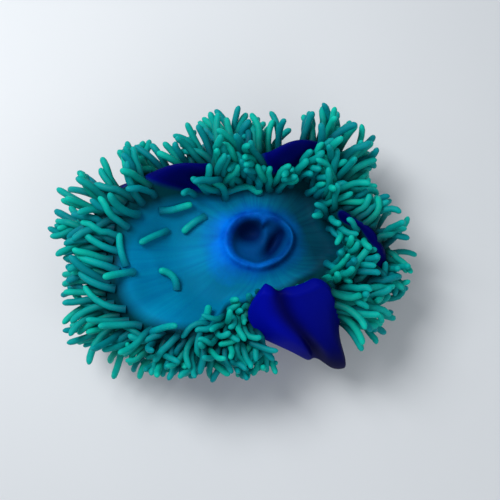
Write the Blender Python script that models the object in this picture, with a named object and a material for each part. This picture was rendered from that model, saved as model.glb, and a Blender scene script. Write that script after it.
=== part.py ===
"""A magnificent sea anemone, as a still, life-size museum model.

Metres, +Z up. The origin is on the sole of the foot, at the floor, below the middle of the disc. +X is the
animal's long way.

The flesh of the disc is one mapping, flesh(): m runs from the lips (0) to the margin (1), theta is the
bearing round the mouth, and w runs from the underside (0) to the oral side (1). Each piece of the disc is a
box in those three coordinates, so that neighbours share their walls and keep a thin cut between them.
Tentacles are drawn out of the faces of the border.
"""

import math
import random

import bmesh
import bpy
import numpy as np
from mathutils import Matrix, Vector
from mathutils.bvhtree import BVHTree

# Driving sizes of the disc, without its tentacles.
DISC_LONG = 0.122
DISC_SHORT = 0.086
DISC_TURN = math.radians(8)
MOUTH = (0.017, 0.006)
MARGIN_SHARE = 0.897  # of the oval, before its scallops: order round the mouth, share, turn in degrees
SCALLOPS = (
    (1, 0.072, -80), (2, 0.008, -164), (3, 0.056, -160), (4, 0.034, -148), (5, 0.007, 168), (6, 0.061, -77),
    (7, 0.041, -12),
)
LIPS_LONG = 0.0285
LIPS_SHORT = 0.0238
CUT = 0.0003

# The column and the foot below the disc.
COLUMN_TOP = 0.034
FOOT_THICK = 0.007
COLUMN_SHARES = ((0.0, 0.36), (0.35, 0.30), (0.7, 0.29), (1.0, 0.345))
FOOT_SHARES = ((0.0, 0.36), (0.45, 0.40), (1.0, 0.375))
WRINKLES = 9
WRINKLE_DEPTH = 0.012  # as a share of the column's radius

# The mouth: an oval opening in a ring of lips, over a folded throat.
OPENING_LONG = 0.0205
OPENING_SHORT = 0.0155
LIP_FOOT = 0.046  # where the lips' outer side meets the disc
LIP_CREST = 0.0515
LIP_CREST_SHARE = 0.45  # of the way from the opening to the disc
LIP_WAVE = 0.0012
LIP_EDGE = 0.001
THROAT_WALL = 0.003
THROAT_TOP = 0.0475
THROAT_FOLDS = 7
THROAT_FOLD_DEPTH = 0.0014
THROAT_EDGE = 0.0007

# Tentacles, as fingers of even thickness with blunt ends.
TENTACLE_RADIUS = 0.0028
TENTACLE_LENGTH = 0.032
TENTACLE_SIDES = 5
CLEARANCE = 0.0008
TRIES = 30
FIRST_SPREAD = 0.15  # how wildly the first try turns a tentacle, and how much more the last one does
MORE_SPREAD = 0.6
ROOT_ROOM = 0.95  # of the distance from the middle of a face to its edge
LEAN_INNER = 0.3
LEAN_MARGIN = 1.2
ELBOW = 0.52  # share of the length
TIP_START = 0.86  # share of the length past the elbow
TIP_SHARE = 0.8  # of the radius
ROOT_FLARE = 1.12
LEAST_ROOT = 0.72
LEAST_RISE = 0.45  # no tentacle leaves its face flatter than this: the cosine of its angle with the normal
COLLAR = 0.001
TIP_DROP = 0.45
TIP_REACH = 0.5

# Half sections of the disc: (share of the way out, height) from the lips to the margin, evenly spaced in m.
PLAIN_ORAL = (
    (0, 0.046), (0.19, 0.044), (0.39, 0.045), (0.56, 0.055), (0.73, 0.066), (0.88, 0.064), (1.0, 0.050),
)
PLAIN_UNDER = (
    (0, 0.034), (0.20, 0.034), (0.37, 0.0346), (0.53, 0.038), (0.70, 0.051), (0.85, 0.054), (0.95, 0.045),
)
FLANK_ORAL = (
    (0, 0.046), (0.16, 0.044), (0.34, 0.044), (0.49, 0.053), (0.60, 0.063), (0.64, 0.070), (0.71, 0.078),
)
FLANK_UNDER = (
    (0, 0.034), (0.20, 0.034), (0.44, 0.035), (0.67, 0.037), (0.87, 0.046), (0.86, 0.056), (0.89, 0.073),
)
FLAP_ORAL = (
    (0, 0.046), (0.12, 0.044), (0.24, 0.045), (0.35, 0.052), (0.41, 0.062), (0.41, 0.072), (0.35, 0.079),
)
FLAP_UNDER = (
    (0, 0.034), (0.20, 0.034), (0.42, 0.034), (0.84, 0.022), (1.22, 0.030), (1.04, 0.064), (0.40, 0.092),
)
RIM_SWELL = 0.42  # how far the rim of the margin is rounded out, as a share of its thickness
RIM_POWER = 10  # high, so that only the rim itself is rounded

# Bare bulges of the border, where a fold of the margin shows its blue underside: bearing and half width in
# degrees, m and half width in m, and rise.
BULGES = (
    (70, 17, 0.74, 0.28, 0.015),
    (139, 15, 0.72, 0.29, 0.014),
    (160, 5, 0.95, 0.08, 0.003),
    (11, 6, 0.66, 0.08, 0.004),
    (0, 6, 0.77, 0.08, 0.004),
    (-11, 6, 0.88, 0.08, 0.004),
)
BULGE_LEAN = 0.5  # how far a bulge leans outwards, as a share of its rise
BARE_BULGE = 0.45

# The margin also rises and falls in ruffles, from RUFFLE_FROM outwards: waves round the mouth, turn, height.
RUFFLES = ((6, 1.1, 0.0055), (11, 0.4, 0.0035))
RUFFLE_FROM = 0.45

# The flap, folded over towards the mouth: broad at its crest, and pinched between its neighbours further out.
FLAP_BEARING = math.radians(295)
FLAP_HALF = math.radians(10)
FLAP_SOFT = math.radians(17)
PINCH_REACH = math.radians(60)
CREST_DISTANCE = 0.052
CREST_RANGE = 0.021
CREST_SPREAD = 1.2
OUTER_PINCH = 0.5
PINCH_FROM = 0.055
PINCH_OVER = 0.045
PINCH_ASIDE = math.radians(8)
FLAP_SKEW = 0.09  # how much further out the flap reaches on its right, as a share of the way out
FLAP_SKEW_HALF = math.radians(14)
FLAP_SKEW_FROM = 0.35
FLAP_SKEW_OVER = 0.25

# The crease down the flap parts it into two lobes: its depth is a share of the flap's thickness.
CREASE_CREST = math.radians(291.5)
CREASE_END = math.radians(291)
CREASE_WIDTH = math.radians(2.2)
CREASE_WIDENS = math.radians(2.5)
CREASE_FROM = 0.6
CREASE_DEPTH = 0.31
CREASE_DIP = 0.018

# Where the border is cut into lobes, in degrees round the mouth.
LOBE_CUTS = (-18, 10, 32, 55, 87, 104, 121, 150, 170, 188, 206, 224, 241, 255, 267, 293, 321, 332)
BORDER_START = 0.34
BORDER_GAP = 0.012
BORDER_LINES = (0.50, 0.64, 0.77, 0.90, 1)
FACE_WIDTH = 0.0092
SPACED_AT = 0.82  # the m where a face is that wide
CROWDED_FROM = 0.8
BARE_LEAST = 0.50
BARE_MORE = 0.17
BARE_BEARING = math.radians(192)
LOBE_MIDDLE = 0.032


def along(points, m):
    """The smooth curve through evenly spaced points, at m from 0 to 1."""
    p = np.array(points, float)
    s = np.clip(m, 0, 1) * (len(p) - 1)
    i = np.minimum(s.astype(int), len(p) - 2)
    t = (s - i)[:, None]
    a, b, c, d = p[np.maximum(i - 1, 0)], p[i], p[i + 1], p[np.minimum(i + 2, len(p) - 1)]
    return b + 0.5 * ((c - a) * t + (2 * a - 5 * b + 4 * c - d) * t**2 + (3 * b - a - 3 * c + d) * t**3)


def angle_from(theta, centre):
    """theta less centre, from -pi to pi."""
    return (theta - centre + math.pi) % (2 * math.pi) - math.pi


def oval(theta, long, short):
    """Distance from the middle of an oval to its edge."""
    return long * short / np.hypot(short * np.cos(theta), long * np.sin(theta))


def lip_distance(theta):
    """How far the outside of the lips is from the middle of the mouth."""
    return oval(theta, LIPS_LONG, LIPS_SHORT)


def margin_distance(theta):
    """How far the margin is from the middle of the mouth: a turned oval, a little scalloped."""
    c, s = math.cos(DISC_TURN), math.sin(DISC_TURN)
    mx, my = (c * MOUTH[0] + s * MOUTH[1]) / DISC_LONG, (c * MOUTH[1] - s * MOUTH[0]) / DISC_SHORT
    dx, dy = np.cos(theta - DISC_TURN) / DISC_LONG, np.sin(theta - DISC_TURN) / DISC_SHORT
    a, b, k = dx * dx + dy * dy, mx * dx + my * dy, mx * mx + my * my - 1
    plain = (np.sqrt(b * b - a * k) - b) / a
    scallops = sum(size * np.cos(order * theta - math.radians(turn)) for order, size, turn in SCALLOPS)
    return plain * (MARGIN_SHARE + scallops)


def flap_weight(theta):
    """1 in the middle of the flap and 0 past its soft edges."""
    t = np.clip((FLAP_HALF + FLAP_SOFT - np.abs(angle_from(theta, FLAP_BEARING))) / FLAP_SOFT, 0, 1)
    return t * t * (3 - 2 * t)


def bulge(m, theta):
    """How much of a bare bulge is there, from 0 to about 1, and how far it rises."""
    there, rise = 0, 0
    for bearing, half_bearing, middle, half_m, height in BULGES:
        off = angle_from(theta, math.radians(bearing)) / math.radians(half_bearing)
        share = np.exp(-(off**2) - ((m - middle) / half_m) ** 2)
        there = there + share
        rise = rise + share * height
    return there, rise


def around_mouth(rho, theta, z):
    """Points at those distances and bearings from the mouth, spread and pinched in plan along the flap."""
    off = angle_from(theta, FLAP_BEARING)
    t = np.clip(np.abs(off) / PINCH_REACH, 0, 1)
    outer = np.clip((rho - PINCH_FROM) / PINCH_OVER, 0, 1)
    spread = CREST_SPREAD * np.exp(-(((rho - CREST_DISTANCE) / CREST_RANGE) ** 2)) * off
    pinch = OUTER_PINCH * outer**2 * (3 - 2 * outer) * (off - PINCH_ASIDE)
    bearing = theta + (spread - pinch) * (1 - 3 * t**2 + 2 * t**3)
    return np.stack([MOUTH[0] + rho * np.cos(bearing), MOUTH[1] + rho * np.sin(bearing), z], 1)


def flesh(m, theta, w):
    """Points of the disc's flesh, one row for each m, theta and w."""
    m, theta, w = np.broadcast_arrays(*(np.atleast_1d(np.asarray(x, float)) for x in (m, theta, w)))
    crest_share = np.clip((m - CREASE_FROM) / (1 - CREASE_FROM), 0, 1)
    crease_bearing = CREASE_END + (CREASE_CREST - CREASE_END) * crest_share
    crease_width = CREASE_WIDTH + CREASE_WIDENS * (1 - crest_share)
    crease = np.exp(-((angle_from(theta, crease_bearing) / crease_width) ** 2))
    crease = crease * np.minimum(1, 2 * crest_share)
    w = w + CREASE_DEPTH * crease * (1 - w)
    m = m * (1 - CREASE_DIP * crease)
    flap = flap_weight(theta)[:, None]
    shares = ((1 - flap) ** 2, 2 * flap * (1 - flap), flap**2)
    oral = sum(share * along(side, m) for share, side in zip(shares, (PLAIN_ORAL, FLANK_ORAL, FLAP_ORAL)))
    under = sum(share * along(side, m) for share, side in zip(shares, (PLAIN_UNDER, FLANK_UNDER, FLAP_UNDER)))
    skew = np.clip(angle_from(theta, FLAP_BEARING) / FLAP_SKEW_HALF, -1, 1)
    skew = skew * np.clip((m - FLAP_SKEW_FROM) / FLAP_SKEW_OVER, 0, 1)
    reach = margin_distance(theta) - lip_distance(theta)
    oral[:, 0] = (oral[:, 0] + FLAP_SKEW * flap[:, 0] * skew) * reach
    under[:, 0] = (under[:, 0] + FLAP_SKEW * flap[:, 0] * skew) * reach
    ruffle = sum(height * np.sin(waves * theta + turn) for waves, turn, height in RUFFLES)
    swell = bulge(m, theta)[1]
    rise = ruffle * np.clip((m - RUFFLE_FROM) / (1 - RUFFLE_FROM), 0, 1) ** 1.5 + swell
    rise = (1 - flap) * np.stack([BULGE_LEAN * swell, rise], 1)
    thick = oral - under
    swell = RIM_SWELL * np.sin(math.pi * w) * m**RIM_POWER
    end = np.stack([thick[:, 1], -thick[:, 0]], 1) * swell[:, None]
    flat = under + thick * w[:, None] + end + rise
    return around_mouth(lip_distance(theta) + flat[:, 0], theta, flat[:, 1])


def material(name, colour, roughness):
    made = bpy.data.materials.new(name)
    made.use_nodes = True
    shader = made.node_tree.nodes["Principled BSDF"]
    shader.inputs["Base Color"].default_value = (*colour, 1)
    shader.inputs["Roughness"].default_value = roughness
    shader.inputs["Metallic"].default_value = 0.0
    return made


def place(name, bm, finish, collection):
    """A mesh object of that name, with its faces pointing out."""
    bmesh.ops.recalc_face_normals(bm, faces=bm.faces)
    if bm.calc_volume(signed=True) < 0:
        bmesh.ops.reverse_faces(bm, faces=bm.faces)
    mesh = bpy.data.meshes.new(name)
    bm.to_mesh(mesh)
    bm.free()
    mesh.materials.append(finish)
    mesh.shade_smooth()
    mesh.set_sharp_from_angle(angle=math.radians(50))
    obj = bpy.data.objects.new(name, mesh)
    collection.objects.link(obj)
    return obj


def cell(lines, ring=False):
    """A cube cut along the given lines of its three coordinates. A ring has no walls at its ends in y."""
    bm = bmesh.new()
    bmesh.ops.create_cube(bm, size=1)
    for v in bm.verts:
        v.co = [row[-1] if v.co[k] > 0 else row[0] for k, row in enumerate(lines)]
    for k, row in enumerate(lines):
        normal = [float(i == k) for i in range(3)]
        for at in row[1:-1]:
            geometry = bm.verts[:] + bm.edges[:] + bm.faces[:]
            bmesh.ops.bisect_plane(bm, geom=geometry, plane_co=[at * n for n in normal], plane_no=normal)
    if ring:
        ends = [f for f in bm.faces if abs(f.normal.y) > 0.9]
        bmesh.ops.delete(bm, geom=ends, context="FACES")
    return bm


def mapped(bm, mapping):
    """Moves each vertex of a cell to where mapping puts its three coordinates.
    Cutting each quad across its shorter diagonal gives two facing walls the same facets."""
    co = np.array([v.co for v in bm.verts])
    for v, p in zip(bm.verts, mapping(*co.T)):
        v.co = p
    bmesh.ops.remove_doubles(bm, verts=bm.verts, dist=1e-6)
    bmesh.ops.triangulate(bm, faces=bm.faces, quad_method="SHORT_EDGE")
    return bm


def steps(low, high, count):
    return [low + (high - low) * i / count for i in range(count + 1)]


def solid_below(shares, low, high):
    """The mapping of a layer of the column: share runs from its middle to its wall, w from low to high."""

    def mapping(share, theta, w):
        outwards = margin_distance(theta) - lip_distance(theta)
        reach = lip_distance(theta) + np.interp(w, *zip(*shares)) * outwards
        rho = share * reach * (1 + WRINKLE_DEPTH * np.sin(WRINKLES * theta + 0.5))
        return around_mouth(rho, theta, low + (high - low) * w)

    return mapping


def foot(collection, finish):
    """The pedal disc, flat on the floor with a rounded edge."""
    bm = cell([steps(0, 1, 2), steps(0, 2 * math.pi, 36), [0, 0.5, 1]], ring=True)
    mapped(bm, solid_below(FOOT_SHARES, 0, FOOT_THICK))
    return place("foot", bm, finish, collection)


def column(collection, finish):
    """The trunk, waisted between the foot and the disc."""
    bm = cell([steps(0, 1, 2), steps(0, 2 * math.pi, 36), [0, 0.35, 0.7, 1]], ring=True)
    mapped(bm, solid_below(COLUMN_SHARES, COLUMN_TOP - CUT, FOOT_THICK + CUT))
    return place("column", bm, finish, collection)


def lobe_bearings(low, high):
    """Bearings from one cut to the next, closer where the oral side turns, for faces about FACE_WIDTH across."""
    fine = np.linspace(low, high, 33)
    line = flesh(SPACED_AT, fine, 1.0)
    run = np.cumsum([0, *np.linalg.norm(np.diff(line, axis=0), axis=1)])
    return list(np.interp(steps(0, run[-1], max(2, round(run[-1] / FACE_WIDTH))), run, fine))


def oral_disc(cuts, collection, finish):
    """The bare middle of the disc, a ring between the lips and the border, whose facets meet the lobes'."""
    bearings = [cuts[0]]
    for low, high in zip(cuts, cuts[1:]):
        bearings += lobe_bearings(low, high)[1:]
    bm = cell([[0, BORDER_START], bearings, [0, 0.5, 1]], ring=True)
    mapped(bm, flesh)
    return place("oral_disc", bm, finish, collection)


def turned_section(section, sides=32):
    """A ring lofted through one closed section at each bearing: section(theta) gives its (rho, z) points."""
    bm = bmesh.new()
    bearings = [2 * math.pi * i / sides for i in range(sides)]
    rings = []
    for t in bearings:
        rho, z = np.array(section(t)).T
        rings.append([bm.verts.new(p) for p in around_mouth(rho, t, z)])
    for here, after in zip(rings, rings[1:] + rings[:1]):
        for i, j in zip(range(len(here)), [*range(1, len(here)), 0]):
            bm.faces.new((here[i], here[j], after[j], after[i]))
    bmesh.ops.triangulate(bm, faces=bm.faces)
    return bm


def lips(collection, finish):
    """The peristome, a raised ring whose inner edge leans over the throat."""

    def section(theta):
        outer = float(lip_distance(theta)) - CUT
        inner = float(oval(theta, OPENING_LONG, OPENING_SHORT))
        crest = inner + LIP_CREST_SHARE * (outer - inner)
        rise = LIP_CREST + LIP_WAVE * math.cos(2 * theta)
        ledge = THROAT_TOP + CUT
        return (
            (outer, COLUMN_TOP + CUT), (outer, LIP_FOOT), (crest, rise), (inner + LIP_EDGE, rise - LIP_EDGE),
            (inner, ledge), (inner + THROAT_WALL, ledge), (inner + THROAT_WALL, COLUMN_TOP + CUT),
        )

    return place("lips", turned_section(section), finish, collection)


def throat(collection, finish):
    """The upper throat, a short tube with lengthwise folds, under the lips."""

    def section(theta):
        outer = float(oval(theta, OPENING_LONG, OPENING_SHORT)) + THROAT_WALL - CUT
        inner = outer - THROAT_WALL - THROAT_FOLD_DEPTH * math.cos(THROAT_FOLDS * theta)
        low = COLUMN_TOP + CUT
        return ((outer, low), (outer, THROAT_TOP), (inner + THROAT_EDGE, THROAT_TOP), (inner, low))

    return place("throat", turned_section(section, 42), finish, collection)


def border_lobe(low, high, start):
    """One lobe of the border, from the cut at low to the cut at high, both in radians, not yet triangulated.
    Also returns the faces that may bear a tentacle, each with its m. Inwards they alternate, as on a
    chessboard; start is the number of faces round the border before this lobe."""
    thin = CUT / 2 / LOBE_MIDDLE
    bearings = [low + thin, *lobe_bearings(low, high)[1:-1], high - thin]
    lines = [BORDER_START + BORDER_GAP, *BORDER_LINES]
    bm = cell([lines, bearings, [0, 0.5, 1]])
    bearing_faces = []
    for face in bm.faces:
        m, theta, w = face.calc_center_median()
        dark_square = (sum(m > at for at in lines) + sum(theta > at for at in bearings) + start) % 2
        oral = w == 1 and (dark_square or m > CROWDED_FROM)
        rim = m == 1 and w > 0.5 and dark_square
        if m > bare_until(theta) and bulge(m, theta)[0] < BARE_BULGE and (oral or rim):
            bearing_faces.append((m, face))
    co = np.array([v.co for v in bm.verts])
    for v, p in zip(bm.verts, flesh(*co.T)):
        v.co = p
    bm.normal_update()
    return bm, bearing_faces


def bare_until(theta):
    """The m where tentacles begin. The bare disc is widest on the far side of the mouth."""
    return BARE_LEAST + BARE_MORE * max(0.0, math.cos(theta - BARE_BEARING)) ** 2


def tentacle_path(face, m, spread, rng):
    """Points along a tentacle: it leaves the flesh leaning towards the margin, then bends over. Where a fold
    stands the oral side on edge, the tentacle comes straight out of it."""
    root = face.calc_center_median()
    normal = face.normal
    away = Vector((root.x - MOUTH[0], root.y - MOUTH[1], 0)).normalized()
    lean = LEAN_INNER + (LEAN_MARGIN - LEAN_INNER) * ((m - BARE_LEAST) / (1 - BARE_LEAST)) ** 2
    upward = min(1.0, max(0.0, 2 * normal.z))
    swing = Vector([rng.uniform(-1, 1) for _ in range(3)]) * spread
    start = (normal + away * lean * upward + swing).normalized()
    finish = (start + away * TIP_REACH * upward + swing - Vector((0, 0, TIP_DROP * m * upward))).normalized()
    length = TENTACLE_LENGTH * rng.uniform(0.85, 1.05)
    elbow = root + start * length * ELBOW
    return root, elbow, elbow + finish * length * (1 - ELBOW)


def samples(path, count=10):
    """Evenly spaced points along a path, from past its root to its tip."""
    root, elbow, tip = path
    shares = steps(0, 1, count)[1:]
    lower = [root.lerp(elbow, at / ELBOW) for at in shares if at < ELBOW]
    return lower + [elbow.lerp(tip, (at - ELBOW) / (1 - ELBOW)) for at in shares if at >= ELBOW]


def draw_out(bm, face, path):
    """Draws a five-sided blunt finger out of a face, along the path: rings bridged one to the next."""
    root, elbow, tip = path
    flare = min(ROOT_FLARE, ROOT_ROOM * room_in(face) / TENTACLE_RADIUS)
    stations = [(root + COLLAR * face.normal, face.normal.copy(), flare), (elbow, tip - root, 1.0)]
    stations.append((elbow.lerp(tip, TIP_START), tip - elbow, TIP_SHARE))
    before = face.normal.copy()
    turn = before.to_track_quat("Z", "Y")
    loop = face.edges[:]
    bmesh.ops.delete(bm, geom=[face], context="FACES_ONLY")
    for middle, way, size in stations:
        turn = before.rotation_difference(way) @ turn
        before = way
        place_of = Matrix.Translation(middle) @ turn.to_matrix().to_4x4()
        radius = TENTACLE_RADIUS * size
        ring = bmesh.ops.create_circle(bm, segments=TENTACLE_SIDES, radius=radius, matrix=place_of)["verts"]
        edges = list({edge for v in ring for edge in v.link_edges})
        bmesh.ops.bridge_loops(bm, edges=loop + edges)
        loop = edges
    end = bmesh.ops.contextual_create(bm, geom=loop)["faces"]
    point = bmesh.ops.poke(bm, faces=end)["verts"][0]
    point.co = tip


def room_in(face):
    """The distance from the middle of a face to its nearest edge."""
    middle = face.calc_center_median()
    spans = []
    for edge in face.edges:
        a, b = (v.co for v in edge.verts)
        share = max(0.0, min(1.0, (middle - a).dot(b - a) / (b - a).length_squared))
        spans.append((middle - a.lerp(b, share)).length)
    return min(spans)


def grow_tentacles(lobes, others):
    """Draws tentacles out of the lobes, each clear of the flesh and of every other tentacle."""
    rng = random.Random(11)
    trees = [BVHTree.FromBMesh(bm) for bm, _ in lobes]
    for obj in others:
        bm = bmesh.new()
        bm.from_mesh(obj.data)
        trees.append(BVHTree.FromBMesh(bm))
        bm.free()
    taken = []
    clear_of_flesh = TENTACLE_RADIUS + CLEARANCE
    clear_of_tentacles = 2 * TENTACLE_RADIUS + CLEARANCE
    for bm, bearing_faces in lobes:
        for m, face in bearing_faces:
            if room_in(face) < LEAST_ROOT * TENTACLE_RADIUS:
                continue
            for attempt in range(TRIES):
                path = tentacle_path(face, m, FIRST_SPREAD + MORE_SPREAD * attempt / TRIES, rng)
                line = samples(path)
                if (line[0] - path[0]).normalized().dot(face.normal) < LEAST_RISE:
                    continue
                if any(math.dist(p.xy, MOUTH) < LIPS_LONG for p in line):
                    continue
                if any(tree.find_nearest(p)[3] < clear_of_flesh for tree in trees for p in line[2:]):
                    continue
                if any((p - q).length < clear_of_tentacles for p in line for q in taken):
                    continue
                taken += line
                draw_out(bm, face, path)
                break


def main():
    for old in list(bpy.data.objects):
        bpy.data.objects.remove(old)
    anemone = bpy.data.collections.new("sea_anemone")
    bpy.context.scene.collection.children.link(anemone)

    blue = material("column_flesh", (0.012, 0.03, 0.42), 0.5)
    teal = material("disc_flesh", (0.01, 0.20, 0.34), 0.5)
    green = material("tentacle_flesh", (0.02, 0.48, 0.30), 0.5)
    dusk = material("lip_flesh", (0.01, 0.08, 0.33), 0.45)

    cuts = [math.radians(a) for a in (*LOBE_CUTS, LOBE_CUTS[0] + 360)]
    others = [
        foot(anemone, blue),
        column(anemone, blue),
        oral_disc(cuts, anemone, teal),
        lips(anemone, dusk),
        throat(anemone, dusk),
    ]
    lobes = []
    start = 0
    for low, high in zip(cuts, cuts[1:]):
        lobes.append(border_lobe(low, high, start))
        start += len(lobe_bearings(low, high)) - 1
    grow_tentacles(lobes, others)
    for i, (bm, _) in enumerate(lobes):
        bmesh.ops.triangulate(bm, faces=bm.faces, quad_method="SHORT_EDGE")
        place(f"border_lobe_{i + 1:02d}", bm, green, anemone)


main()
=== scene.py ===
"""A magnificent sea anemone, still and life-size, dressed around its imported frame. Metres, +Z up."""

import math
import random

import bpy
import numpy as np
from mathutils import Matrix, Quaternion, Vector, noise
from mathutils.bvhtree import BVHTree
from mathutils.kdtree import KDTree


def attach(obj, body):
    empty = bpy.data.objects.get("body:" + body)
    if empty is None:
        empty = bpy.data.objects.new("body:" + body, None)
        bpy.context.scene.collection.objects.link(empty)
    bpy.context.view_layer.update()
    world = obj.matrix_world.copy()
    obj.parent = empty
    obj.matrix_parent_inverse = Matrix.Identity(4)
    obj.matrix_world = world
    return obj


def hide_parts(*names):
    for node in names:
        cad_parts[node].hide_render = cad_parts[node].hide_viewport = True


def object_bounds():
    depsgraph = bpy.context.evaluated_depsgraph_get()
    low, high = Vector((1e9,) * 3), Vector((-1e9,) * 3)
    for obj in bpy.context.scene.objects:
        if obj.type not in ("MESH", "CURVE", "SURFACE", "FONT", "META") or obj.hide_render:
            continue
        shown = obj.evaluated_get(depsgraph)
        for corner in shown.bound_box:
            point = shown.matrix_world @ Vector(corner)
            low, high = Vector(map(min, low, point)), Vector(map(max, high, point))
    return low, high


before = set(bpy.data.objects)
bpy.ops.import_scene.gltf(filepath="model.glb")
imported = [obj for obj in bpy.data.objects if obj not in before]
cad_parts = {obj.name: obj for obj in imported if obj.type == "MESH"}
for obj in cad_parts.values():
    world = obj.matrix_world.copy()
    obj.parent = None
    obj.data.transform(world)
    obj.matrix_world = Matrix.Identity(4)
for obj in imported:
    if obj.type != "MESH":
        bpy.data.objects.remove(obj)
cad_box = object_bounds()

# ---------------------------------------------------------------------------------------------------------
# The skin. One unbroken, wet, soft skin covers the foot, the column, both sides of the disc, the lips and the
# throat. It is a loft of closed rings round the mouth, from the middle of the sole, up the column, out under
# the disc, over its folded margin, in across its oral side and down into the mouth.

DISC_LONG = 0.122
DISC_SHORT = 0.086
DISC_TURN = math.radians(8)
MOUTH = np.array([0.017, 0.006])
MARGIN_SHARE = 0.897  # of the oval, before its scallops

# The scallops of the margin: waves round the mouth, share of the oval, turn in degrees.
SCALLOPS = (
    (1, 0.072, -80), (2, 0.008, -164), (3, 0.056, -160), (4, 0.034, -148), (5, 0.007, 168), (6, 0.061, -77),
    (7, 0.041, -12),
)
LIPS_LONG = 0.0285
LIPS_SHORT = 0.0238

# Half sections of the disc: (share of the way out, height) from the lips to the margin, evenly spaced in m.
PLAIN_ORAL = (
    (0, 0.046), (0.19, 0.044), (0.39, 0.045), (0.56, 0.055), (0.73, 0.066), (0.88, 0.064), (1.0, 0.050),
)
PLAIN_UNDER = (
    (0, 0.034), (0.20, 0.034), (0.37, 0.0346), (0.53, 0.038), (0.70, 0.051), (0.85, 0.054), (0.95, 0.045),
)
FLANK_ORAL = (
    (0, 0.046), (0.16, 0.044), (0.34, 0.044), (0.49, 0.053), (0.60, 0.063), (0.64, 0.070), (0.71, 0.078),
)
FLANK_UNDER = (
    (0, 0.034), (0.20, 0.034), (0.44, 0.035), (0.67, 0.037), (0.87, 0.046), (0.86, 0.056), (0.89, 0.073),
)
FLAP_ORAL = (
    (0, 0.046), (0.12, 0.044), (0.24, 0.045), (0.35, 0.052), (0.41, 0.062), (0.41, 0.072), (0.35, 0.079),
)
FLAP_UNDER = (
    (0, 0.034), (0.20, 0.034), (0.42, 0.034), (0.84, 0.022), (1.22, 0.030), (1.04, 0.064), (0.40, 0.092),
)
RIM_SWELL = 0.42  # how far the rim of the margin is rounded out, as a share of its thickness
RIM_POWER = 10  # high, so that only the rim itself is rounded

# Bare bulges of the border, where a fold of the margin shows its blue underside: bearing and half width in
# degrees, m and half width in m, and rise.
BULGES = (
    (70, 17, 0.74, 0.28, 0.015),
    (139, 15, 0.72, 0.29, 0.014),
    (160, 5, 0.95, 0.08, 0.003),
    (11, 6, 0.66, 0.08, 0.004),
    (0, 6, 0.77, 0.08, 0.004),
    (-11, 6, 0.88, 0.08, 0.004),
)
BULGE_LEAN = 0.5  # how far a bulge leans outwards, as a share of its rise

# The margin also rises and falls in ruffles, from RUFFLE_FROM outwards: waves round the mouth, turn, height.
RUFFLES = ((6, 1.1, 0.0055), (11, 0.4, 0.0035))
RUFFLE_FROM = 0.45

# The flap, folded over towards the mouth: broad at its crest, and pinched between its neighbours further out.
FLAP_BEARING = math.radians(295)
FLAP_HALF = math.radians(10)
FLAP_SOFT = math.radians(17)
PINCH_REACH = math.radians(60)
CREST_DISTANCE = 0.052
CREST_RANGE = 0.021
CREST_SPREAD = 1.2
OUTER_PINCH = 0.5
PINCH_FROM = 0.055
PINCH_OVER = 0.045
PINCH_ASIDE = math.radians(8)
FLAP_SKEW = 0.09  # how much further out the flap reaches on its right, as a share of the way out
FLAP_SKEW_HALF = math.radians(14)
FLAP_SKEW_FROM = 0.35
FLAP_SKEW_OVER = 0.25

# The crease down the flap parts it into two lobes: its depth is a share of the flap's thickness.
CREASE_CREST = math.radians(291.5)
CREASE_END = math.radians(291)
CREASE_WIDTH = math.radians(2.2)
CREASE_WIDENS = math.radians(2.5)
CREASE_FROM = 0.6
CREASE_DEPTH = 0.31
CREASE_DIP = 0.018

# The foot and the column: (share of the way out, height) from the floor up, a little wrinkled lengthwise.
COLUMN_PROFILE = (
    (0.340, 0.0), (0.378, 0.001), (0.395, 0.0033), (0.382, 0.006), (0.350, 0.0095),
    (0.312, 0.014), (0.292, 0.019), (0.295, 0.025), (0.322, 0.031),
)
WRINKLE_DEPTH = 0.010  # as a share of the way out, as is the next
FINE_WRINKLE_DEPTH = 0.004
FINE_WRINKLES_ABOVE = 0.004

# The mouth: soft lips round a pit, which has two hollows with a ridge between them.
OPENING_LONG = 0.0225
OPENING_SHORT = 0.0170
LIP_SWELL = 0.0034
LIP_PUCKER = 0.00008
LIP_BASE = PLAIN_ORAL[0][1]
PIT_TOP = 0.0475
PIT_DEPTH = 0.0058
HOLLOW_DEPTH = 0.0095

# The two hollows, from the middle of the mouth: x, y, half width and half length. The right one leans over to
# the right, as does the ridge, which fades out towards the near lip.
LEFT_HOLLOW = (-0.0060, 0.0080, 0.0120, 0.0095)
RIGHT_HOLLOW = (0.0135, -0.0005, 0.0062, 0.0140)
RIGHT_HOLLOW_LEAN = 0.50
RIDGE_X = 0.0056
RIDGE_LEAN = 0.10
RIDGE_WIDTH = 0.0030
RIDGE_END = 0.001
RIDGE_FADE = 0.003
RIDGE_STRENGTH = 0.75

# Notches in the inner edge of the lips: bearing and half width in degrees, share of the opening.
LIP_NOTCHES = ((72, 11, 0.22), (167, 26, 0.14))

# The rings of the loft: how many there are on each stretch, and how many points each has.
SOLE_RINGS = (0.3, 0.6, 0.85, 0.96)  # shares of the sole
COLUMN_RINGS = 30
UNDER_RINGS = 44
RIM_RINGS = 14
ORAL_RINGS = 78
LIP_RINGS = 15
PIT_RINGS = 26
UNDER_FROM = 0.42  # the m where the column joins the underside of the disc
BEARINGS = 400
RING = np.linspace(0, 2 * math.pi, BEARINGS, endpoint=False)

# Each ring has a zone: 0 on the sole, COLUMN_ZONE at the top of the column, 1 at the margin, 2 where the lips
# begin, LIP_ZONE more where they end, and 3 in the middle of the pit.
COLUMN_ZONE = 0.2
LIP_ZONE = 0.3
UV_EDGE = 0.01  # left free at the top and the bottom of the unwrap


def between(a, b, c, d, t):
    """A share t of the way along the smooth curve from b to c, where a comes before them and d after."""
    return b + 0.5 * ((c - a) * t + (2 * a - 5 * b + 4 * c - d) * t**2 + (3 * b - a - 3 * c + d) * t**3)


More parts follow.
